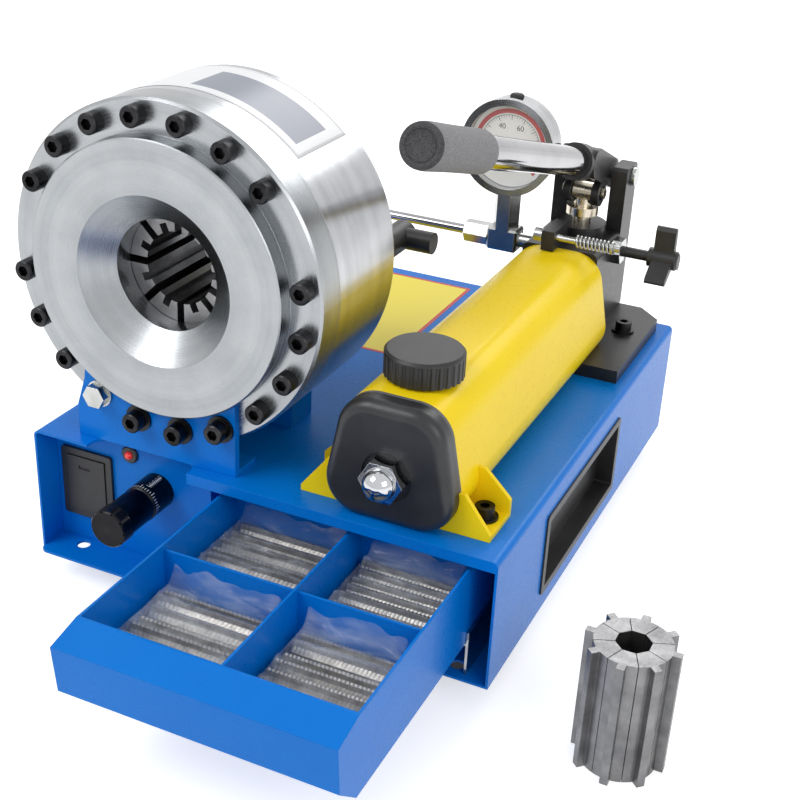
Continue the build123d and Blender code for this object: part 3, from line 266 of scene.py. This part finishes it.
DRESS = {
    BLUE: ("base_shell", "base_floor", "control_panel", "front_bracket", "rear_saddle", "drawer_tray",
           "drawer_dividers"),
    YELLOW: ("reservoir_tube", "pump_foot"),
    HEAD: ("head_body", "rear_cylinder"),
    COVER: ("front_cover",),
    DIE: tuple(name for name in nodes if name.startswith("master_die")) + ("standing_die_set",),
    CONE: ("cone_piston", "tie_rod", "micrometer_spindle"),
    OXIDE: ("flange_screws", "mounting_bolts"),
    ZINC: ("drawer_runners", "fulcrum_pin", "valve_gland", "tee_fitting", "pipe_nuts",
           "spring_rod", "coil_spring"),
    NICKEL: ("plunger",),
    CHROME: ("cap_nut",),
    PLATED: ("handle_tube", "pressure_pipe"),
    STAINLESS: ("gauge_case",),
    CASTING: ("pump_head", "fulcrum_posts", "handle_lever", "rear_housing"),
    CAP: ("reservoir_cap",),
    PLASTIC: ("carry_handle_left", "carry_handle_right", "battery_housing", "battery_tray", "filler_cap",
              "stroke_switch", "release_knob"),
    RUBBER: ("rubber_feet",),
    GASKET: ("reservoir_gasket",),
    ANODISED: ("micrometer_sleeve", "micrometer_thimble"),
    LAMP: ("indicator_lamp",),
    CARD: ("gauge_dial",),
    BLACK: ("gauge_pointer",),
    GLASS: ("gauge_lens",),
}
for material, names in DRESS.items():
    for name in names:
        nodes[name].data.materials.clear()
        nodes[name].data.materials.append(material)


def repaint(name, material, inside):
    """Gives the faces of a CAD node that pass a test another finish."""
    mesh = nodes[name].data
    mesh.materials.append(material)
    for polygon in mesh.polygons:
        if inside(polygon.center):
            polygon.material_index = len(mesh.materials) - 1


def two_finishes():
    """The lamp's dark bezel and the one bright hex bolt among the cover screws."""
    lens_radius, lens_length = 3.7 * MM, 4 * MM
    low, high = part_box("indicator_lamp")
    middle = (low + high) / 2
    repaint("indicator_lamp", PLASTIC,
            lambda c: hypot(c.x - middle.x, c.z - middle.z) > lens_radius or c.y > low.y + lens_length)
    screw_circle, first_screw, screw_pitch, bolt_place, bolt_reach = 120.5 * MM, 7.5, 18, 13, 13 * MM
    turn = radians(first_screw + bolt_place * screw_pitch)
    bolt = Vector((screw_circle * cos(turn), 0, screw_circle * sin(turn)))
    repaint("flange_screws", ZINC, lambda c: hypot(c.x - bolt.x, c.z - bolt.z) < bolt_reach)


two_finishes()


# ---- mesh helpers ----------------------------------------------------------

def piece(name, points, faces, body, materials, smooth=True, kinds=None):
    """A mesh in the part's frame that rides on a CAD body."""
    mesh = bpy.data.meshes.new(name)
    mesh.from_pydata([tuple(p) for p in points], [], faces)
    for material in materials:
        mesh.materials.append(material)
    for polygon in mesh.polygons:
        polygon.use_smooth = smooth
        if kinds:
            polygon.material_index = kinds[polygon.index]
    mesh.validate()
    made = bpy.data.objects.new(name, mesh)
    scene.collection.objects.link(made)
    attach(made, body)
    return made


def modified(made, kind, **settings):
    modifier = made.modifiers.new(kind.title(), kind)
    for key, value in settings.items():
        setattr(modifier, key, value)
    return made


def grid_faces(rows, columns, closed=False, start=0):
    """Quads of a rows by columns net of points."""
    last = columns if closed else columns - 1
    return [(start + r * columns + c, start + r * columns + (c + 1) % columns,
             start + (r + 1) * columns + (c + 1) % columns, start + (r + 1) * columns + c)
            for r in range(rows - 1) for c in range(last)]


def tube_faces(rows, sides, start=0):
    """Faces of a tube of rows rings, with both ends closed."""
    last = start + (rows - 1) * sides
    ends = [tuple(reversed(range(start, start + sides))), tuple(range(last, last + sides))]
    return grid_faces(rows, sides, closed=True, start=start) + ends


def lathe(name, origin, axis, profile, body, material, steps=64):
    """A round piece: profile lists (distance along the axis, radius)."""
    axis = Vector(axis).normalized()
    side = axis.orthogonal().normalized()
    third = axis.cross(side)
    points = []
    for along, radius in profile:
        for step in range(steps):
            turn = 2 * pi * step / steps
            points.append(Vector(origin) + axis * along + (side * cos(turn) + third * sin(turn)) * radius)
    return piece(name, points, tube_faces(len(profile), steps), body, [material])


def wire_piece(name, points, radius, body, material, sides=8):
    """A round wire through many points."""
    ring = []
    path = [Vector(p) for p in points]
    side = None
    for index, here in enumerate(path):
        ahead = path[min(index + 1, len(path) - 1)] - path[max(index - 1, 0)]
        ahead.normalize()
        side = ahead.orthogonal() if side is None else side - ahead * side.dot(ahead)
        side.normalize()
        third = ahead.cross(side)
        for step in range(sides):
            turn = 2 * pi * step / sides
            ring.append(here + (side * cos(turn) + third * sin(turn)) * radius)
    return piece(name, ring, tube_faces(len(path), sides), body, [material])


# ---- labels, bare ----------------------------------------------------------

def head_label():
    """Bare film wrapped over the top of the head, with one grey field."""
    low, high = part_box("head_body")
    radius = high.x + 0.12 * MM
    y0, y1 = low.y + 10 * MM, high.y - 9 * MM
    first_turn, sweep, segments = 46, 78, 52
    turns = [radians(first_turn + sweep * step / segments) for step in range(segments + 1)]
    rows = [y0, y0 + 3 * MM, y0 + 10 * MM, y1 - 18 * MM, y1 - 3 * MM, y1]
    points = [(radius * cos(t), y, radius * sin(t)) for y in rows for t in turns]
    faces = grid_faces(len(rows), len(turns))
    kinds = []
    for row in range(len(rows) - 1):
        for column in range(len(turns) - 1):
            kinds.append(1 if row == 2 and 2 < column < 30 else 0)      # the grey field
    made = piece("head_label", points, faces, "frame", [LABEL, GREY], kinds=kinds)
    modified(made, "SOLIDIFY", thickness=0.1 * MM, offset=-1)


def deck_label():
    """Bare yellow plate with a red border, flat on the deck behind the head."""
    low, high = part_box("base_shell")
    x0, x1 = low.x + 88 * MM, low.x + 191 * MM
    y0, y1 = high.y - 205 * MM, high.y - 18 * MM
    z = high.z + 0.15 * MM
    rim = 3.5 * MM
    xs, ys = (x0, x0 + rim, x1 - rim, x1), (y0, y0 + rim, y1 - rim, y1)
    points = [(x, y, z) for y in ys for x in xs]
    faces = grid_faces(4, 4)
    kinds = [0 if index == 4 else 1 for index in range(9)]
    made = piece("deck_label", points, faces, "frame", [YELLOW_FILM, RED],
                 smooth=False, kinds=kinds)
    modified(made, "SOLIDIFY", thickness=0.12 * MM, offset=-1)


# ---- gauge face ------------------------------------------------------------

def dial_point(radius, degrees_round, y):
    """A point on the dial; degrees run clockwise as seen from the front, from the top."""
    turn = radians(degrees_round)
    return gauge_axis[0] + radius * sin(turn), y, gauge_axis[1] + radius * cos(turn)


def gauge_print():
    """Generic pressure scale: ticks, a red band and plain numbers."""
    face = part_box("gauge_dial")[1].y - 2 * MM
    ink = face - 0.08 * MM
    start, sweep = -135, 270
    band_inner, band_outer, line_inner, tick_outer = 30.5 * MM, 34.5 * MM, 28.6 * MM, 29 * MM
    long_tick, short_tick, number_radius = 24.5 * MM, 26.5 * MM, 19.5 * MM
    numbers, ticks = 6, 50
    points, faces, kinds = [], [], []

    def patch(inner, outer, a, b, steps, kind):
        first = len(points)
        for step in range(steps + 1):
            angle = a + (b - a) * step / steps
            points.append(dial_point(inner, angle, ink))
            points.append(dial_point(outer, angle, ink))
        for step in range(steps):
            here = first + 2 * step
            faces.append((here, here + 2, here + 3, here + 1))
            kinds.append(kind)

    patch(band_inner, band_outer, start, start + sweep, 90, 1)
    patch(line_inner, tick_outer, start, start + sweep, 90, 0)
    for step in range(ticks + 1):
        angle = start + sweep * step / ticks
        long = step % 5 == 0
        half = 0.55 if long else 0.3
        patch(long_tick if long else short_tick, tick_outer, angle - half, angle + half, 1, 0)
    piece("gauge_scale", points, faces, "frame", [BLACK, RED], smooth=False, kinds=kinds)
    for step in range(numbers):
        words = bpy.data.curves.new("scale_number", "FONT")
        words.body = str(step * 20)
        words.size = 7 * MM
        words.align_x, words.align_y = "CENTER", "CENTER"
        words.extrude = 0.02 * MM
        made = bpy.data.objects.new("number", words)
        scene.collection.objects.link(made)
        x, y, z = dial_point(number_radius, start + sweep * step / (numbers - 1), ink - 0.03 * MM)
        made.matrix_world = Matrix.Translation((x, y, z)) @ Matrix.Rotation(radians(90), 4, "X")
        bpy.context.view_layer.update()
        mesh = bpy.data.meshes.new_from_object(made)
        mesh.transform(made.matrix_world)
        bpy.data.objects.remove(made)
        solid = bpy.data.objects.new(f"gauge_number_{step}", mesh)
        mesh.materials.clear()
        mesh.materials.append(BLACK)
        scene.collection.objects.link(solid)
        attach(solid, "frame")


# ---- dies in their bags ----------------------------------------------------

FILM_MARGIN = 4.5 * MM      # how far the film reaches past its bundle


def serrated_bar(x0, x1, y, z, width, height, tilt, points, faces):
    """One die segment on its side: a wedge bar with fine cross serrations on top."""
    teeth = 26
    first = len(points)
    shape = ((-0.5, 0.0), (-0.46, 0.55), (-0.2, 0.78), (-0.12, 1.0), (0.12, 1.0), (0.2, 0.78),
             (0.46, 0.55), (0.5, 0.0))
    for step in range(2 * teeth + 1):
        x = x0 + (x1 - x0) * step / (2 * teeth)
        dip = 1.0 if step % 2 else 0.965
        for across, up in shape:
            lift = up if up < 0.6 else up * dip
            dy, dz = across * width, lift * height
            points.append((x, y + dy * cos(tilt) - dz * sin(tilt), z + dy * sin(tilt) + dz * cos(tilt)))
    faces.extend(tube_faces(2 * teeth + 1, len(shape), first))


def bundle_spots():
    """Boxes of the four bagged bundles, from the CAD solids."""
    low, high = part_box("die_bags")
    corners = [v.co.copy() for v in nodes["die_bags"].data.vertices]
    middle = (low + high) / 2
    spots = []
    for right in (False, True):
        for rear in (False, True):
            own = [c for c in corners if (c.x > middle.x) == right and (c.y > middle.y) == rear]
            xs, ys, zs = zip(*own)
            spots.append((min(xs), max(xs), min(ys), max(ys), min(zs), max(zs)))
    return spots


def creases(spot):
    """Straight creases in the film: a point, a direction, a height and a width for each."""
    x0, x1, y0, y1 = spot[:4]
    lines = []
    for _ in range(13):
        turn = random.uniform(-0.7, 0.9)
        start = Vector((random.uniform(x0, x1), random.uniform(y0, y1)))
        lines.append((start, Vector((cos(turn), sin(turn))), random.uniform(0.6, 2.6) * MM,
                      random.uniform(0.9, 2.4) * MM, random.uniform(14, 34) * MM))
    return lines


def film_height(x, y, spot, lines, seed):
    """Height of the bag film over a bundle: taut over the bars, its open end up at the rear."""
    x0, x1, y0, y1, z0, z1 = spot
    slope, hem, loft = 9 * MM, 4 * MM, 5.5 * MM
    flap_start, flap_run, flap_rise = 7 * MM, 11.5 * MM, 15 * MM
    inside = min(x - x0, x1 - x, y - y0) + FILM_MARGIN
    drop = max(0.0, min(1.0, inside / slope))
    shape = drop * drop * (3 - 2 * drop)
    folds = 1.5 * MM * noise.noise(Vector((x / (38 * MM), y / (24 * MM), seed)))
    here = Vector((x, y))
    for start, along, rise, width, reach in lines:
        offset = here - start
        far = offset.dot(along) / reach
        side = (offset.x * along.y - offset.y * along.x) / width
        if abs(side) < 3 and abs(far) < 2:
            folds += rise * exp(-side * side - far * far)
    low = z0 + hem
    ragged = 0.65 + 0.55 * noise.noise(Vector((x / (17 * MM), seed, 3.0)))
    flap = max(0.0, (y - y1 + flap_start) / flap_run)
    top = z1 + loft + folds + flap_rise * ragged * flap * flap
    return low + (top - low) * (0.12 + 0.88 * shape)


def bagged_dies():
    """Two layers of die bars under a film in each of the four front compartments."""
    random.seed(11)
    bars, layers, layer_rise, bar_height = 8, 2, 17 * MM, 17.5 * MM
    overlap, end_gap, count = 2 * MM, 1.5 * MM, 110
    first = None
    for index, spot in enumerate(bundle_spots()):
        x0, x1, y0, y1, z0 = spot[:5]
        points, faces = [], []
        pitch = (y1 - y0 + 2 * overlap) / bars
        for layer in range(layers):
            for bar in range(bars):
                shift = random.uniform(-2.5, 2.5) * MM
                tilt = random.uniform(-0.2, 0.2)
                y = y0 - overlap + (bar + 0.5) * pitch
                z = z0 + layer * layer_rise + random.uniform(0, 1.4) * MM
                serrated_bar(x0 + end_gap + shift, x1 - end_gap + shift, y, z, pitch * 0.9, bar_height,
                             tilt, points, faces)
        bars_piece = piece(f"die_segments_{index + 1}", points, faces, "drawer", [BAR],
                           smooth=False)
        first = first or bars_piece
        lines = creases(spot)
        net = []
        width, depth = x1 - x0 + 2 * FILM_MARGIN, y1 - y0 + 2 * FILM_MARGIN
        for row in range(count + 1):
            for column in range(count + 1):
                x = x0 - FILM_MARGIN + width * column / count
                y = y0 - FILM_MARGIN + depth * row / count
                net.append((x, y, film_height(x, y, spot, lines, index * 3.7)))
        film = piece(f"bag_film_{index + 1}", net, grid_faces(count + 1, count + 1), "drawer", [FILM])
        film.data.update()
    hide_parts("die_bags")


# ---- small parts -----------------------------------------------------------

def handle_direction():
    """Unit vector along the handle tube, from the grip's tip to the fulcrum."""
    tube = [v.co.copy() for v in nodes["handle_tube"].data.vertices]
    y0, y1 = min(c.y for c in tube), max(c.y for c in tube)
    near = [c for c in tube if c.y < y0 + 12 * MM]
    far = [c for c in tube if c.y > y1 - 12 * MM]
    return (sum(far, Vector()) / len(far) - sum(near, Vector()) / len(near)).normalized()


def axis_ends(name, along):
    """The two ends of a round node's axis."""
    corners = [v.co.copy() for v in nodes[name].data.vertices]
    reaches = [c.dot(along) for c in corners]
    across = sum((c - along * c.dot(along) for c in corners), Vector()) / len(corners)
    return across + along * min(reaches), across + along * max(reaches)


def foam_grip():
    """Foam rubber sleeve with a rolled front rim over the handle tube."""
    low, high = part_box("handle_grip")
    radius = (high.x - low.x) / 2
    front, rear = axis_ends("handle_grip", handle_direction())
    length = (rear - front).length
    soft, rim, core = 5 * MM, 3 * MM, 13.2 * MM
    profile = [(2.6 * MM, 3 * MM), (2.4 * MM, radius - 6.5 * MM), (1.2 * MM, radius - 5.6 * MM)]
    for step in range(9):
        turn = pi * step / 8
        profile.append((rim * (1 - sin(turn)), radius - rim - 0.2 * MM - cos(turn) * rim * 0.9))
    for step in range(1, 24):
        along = soft + (length - 2 * soft) * step / 24
        profile.append((along, radius - 0.25 * MM * (1 - cos(2 * pi * step / 24)) / 2))
    for step in range(7):
        turn = pi / 2 * step / 6
        profile.append((length - soft / 2 * cos(turn), radius - soft / 2 + soft / 2 * cos(turn)))
    profile.append((length, core))
    made = lathe("foam_sleeve", front, rear - front, profile, "lever", FOAM)
    made.data.materials.append(FOAM_SKIN)
    toward = (rear - front).normalized()
    for polygon in made.data.polygons:
        if (polygon.center - front).dot(toward) < soft:
            polygon.material_index = 1
    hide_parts("handle_grip")


def spring_coil():
    """Compression spring on the cross rod, between the pump block and the end collar."""
    low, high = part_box("coil_spring")
    y, z = (low.y + high.y) / 2, (low.z + high.z) / 2
    turns, steps, wire_radius = 9, 20, 1.1 * MM
    reach = (high.z - low.z) / 2 - wire_radius
    x0, x1 = low.x + wire_radius, high.x - wire_radius
    points = []
    for step in range(turns * steps + 1):
        turn = 2 * pi * step / steps
        x = x0 + (x1 - x0) * step / (turns * steps)
        points.append((x, y + reach * cos(turn), z + reach * sin(turn)))
    made = wire_piece("spring_coil", points, wire_radius, "frame", ZINC)
    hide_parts("coil_spring")


def micrometer_marks():
    """White ticks round the sleeve's front end and along it, without numbers."""
    low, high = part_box("micrometer_sleeve")
    start = low.y
    radius = high.x - knob_axis[0] + 0.04 * MM
    index_turn, half, divisions, lines = 0.35, 0.016, 40, 17
    points, faces = [], []

    def mark(turn, half, y0, y1):
        first = len(points)
        for y in (y0, y1):
            for angle in (turn - half, turn + half):
                points.append((knob_axis[0] + radius * sin(angle), y, knob_axis[1] + radius * cos(angle)))
        faces.append((first, first + 1, first + 3, first + 2))

    for step in range(divisions):
        turn = 2 * pi * step / divisions
        mark(turn, half, start + 2.2 * MM, start + (7 if step % 5 == 0 else 5) * MM)
    mark(index_turn, half, start + 8 * MM, start + (8 + lines) * MM)
    for step in range(lines):
        side = 0.06 if step % 2 else -0.06
        turn = index_turn + side * (1.6 if step % 4 == 0 else 1.0)
        y = start + (8 + step) * MM
        mark(turn, abs(turn - index_turn) * 0.9, y, y + 0.45 * MM)
    piece("micrometer_scale", points, faces, "frame", [WHITE], smooth=False)


def thimble_rings():
    """Fine turned rings on the thimble's grip, just behind its front face."""
    low, high = knob_box
    radius = (high.x - low.x) / 2
    crest, groove, root = radius + 0.1 * MM, radius - 0.7 * MM, radius - 1.4 * MM
    start, pitch = 1.5 * MM, 2.4 * MM
    profile = [(start, root), (start, crest)]
    for ring in range(5):
        end = start + (ring + 1) * pitch
        profile += [(end - 1.7 * MM, crest), (end - 1.5 * MM, groove), (end - 0.4 * MM, groove), (end, crest)]
    profile.append((end, root))
    lathe("thimble_rings", (knob_axis[0], low.y, knob_axis[1]), (0, 1, 0), profile, "thimble", ANODISED,
          steps=72)


def gauge_plug():
    """Rubber vent plug on top of the gauge case."""
    low, high = gauge_box
    top = high.z - 3.4 * MM
    profile = [(-4 * MM, 5 * MM), (0.6 * MM, 5 * MM), (1.2 * MM, 6.4 * MM), (3.2 * MM, 6.6 * MM),
               (4.6 * MM, 5.6 * MM), (5.2 * MM, 3.4 * MM), (5.3 * MM, 1 * MM)]
    origin = (gauge_axis[0], (low.y + high.y) / 2 + 2 * MM, top)
    lathe("gauge_plug", origin, (0, 0, 1), profile, "frame", RUBBER, steps=28)


head_label()
deck_label()
gauge_print()
bagged_dies()
foam_grip()
spring_coil()
micrometer_marks()
thimble_rings()
gauge_plug()


# ---- floor, light and camera -----------------------------------------------

FLOOR_SIZE = 9.0
FLOOR_GLOW = 0.6            # added to the lit floor, so that it reads as white
WORLD_LIGHT = 0.62          # strength of the world for the light that falls on surfaces


def backdrop_mask(tree):
    """1 for what the camera, a mirror or clear glass sees, 0 for light on surfaces."""
    path = node(tree, "LightPath")
    seen = math(tree, "ADD", path.outputs["Is Camera Ray"], path.outputs["Is Glossy Ray"], clamp=True)
    return math(tree, "ADD", seen, path.outputs["Is Transmission Ray"], clamp=True)


def lay_floor():
    """A pale floor at the part's lowest point, which keeps the part's shadow."""
    size, z = FLOOR_SIZE, cad_box[0][2]
    mesh = bpy.data.meshes.new("floor")
    mesh.from_pydata([(-size, -size, z), (size, -size, z), (size, size, z), (-size, size, z)], [],
                     [(0, 1, 2, 3)])
    floor = bpy.data.objects.new("floor", mesh)
    scene.collection.objects.link(floor)
    material = bpy.data.materials.new("pale_floor")
    material.use_nodes = True
    tree = material.node_tree
    tree.nodes.clear()
    diffuse = node(tree, "BsdfDiffuse", {"Color": (0.82, 0.82, 0.82)})
    glow = node(tree, "Emission", {"Color": (1, 1, 1),
                                   "Strength": math(tree, "MULTIPLY", backdrop_mask(tree), FLOOR_GLOW)})
    both = node(tree, "AddShader", {0: diffuse.outputs[0], 1: glow.outputs[0]})
    node(tree, "OutputMaterial", {"Surface": both.outputs[0]})
    mesh.materials.append(material)


def light_world():
    """White for the camera, mirrors and clear glass; dimmer for the light that falls on surfaces."""
    world = bpy.data.worlds.new("studio")
    scene.world = world
    world.use_nodes = True
    tree = world.node_tree
    tree.nodes.clear()
    strength = span(tree, backdrop_mask(tree), 0.0, 1.0, WORLD_LIGHT, 1.0)
    background = node(tree, "Background", {"Color": (1, 1, 1), "Strength": strength})
    node(tree, "OutputWorld", {"Surface": background.outputs[0]})


def softbox(name, place_at, aim, width, height, power):
    lamp = bpy.data.lights.new(name, "AREA")
    lamp.shape = "RECTANGLE"
    lamp.size, lamp.size_y = width, height
    lamp.energy = power
    made = bpy.data.objects.new(name, lamp)
    made.location = place_at
    made.rotation_euler = (Vector(aim) - Vector(place_at)).to_track_quat("-Z", "Y").to_euler()
    scene.collection.objects.link(made)


def stand_camera():
    """The photograph's viewpoint: 23.64 degrees to the right of the front and 26.86 above it."""
    azimuth, height, roll = radians(23.64), radians(26.86), radians(2.84)
    back = Vector((sin(azimuth) * cos(height), -cos(azimuth) * cos(height), sin(height)))
    level = Vector((cos(azimuth), sin(azimuth), 0))
    upright = back.cross(level)
    right = level * cos(roll) + upright * sin(roll)
    up = upright * cos(roll) - level * sin(roll)
    lens = bpy.data.cameras.new("camera")
    lens.sensor_width = 36
    lens.lens = 60.72
    made = bpy.data.objects.new("camera", lens)
    turned_to = Matrix((right, up, back)).transposed().to_4x4()
    made.matrix_world = Matrix.Translation((0.5315, -0.7831, 0.3746)) @ turned_to
    scene.collection.objects.link(made)
    scene.camera = made


lay_floor()
light_world()
softbox("key", (-1.1, -1.3, 1.7), (0.0, 0.0, -0.1), 1.2, 1.2, 24)
softbox("fill", (1.9, -0.9, 0.9), (0.1, 0.0, -0.1), 1.2, 1.0, 11)
softbox("rim", (0.2, 1.9, 1.3), (0.1, 0.1, -0.1), 1.6, 0.8, 14)
stand_camera()
scene.view_settings.view_transform = "Standard"
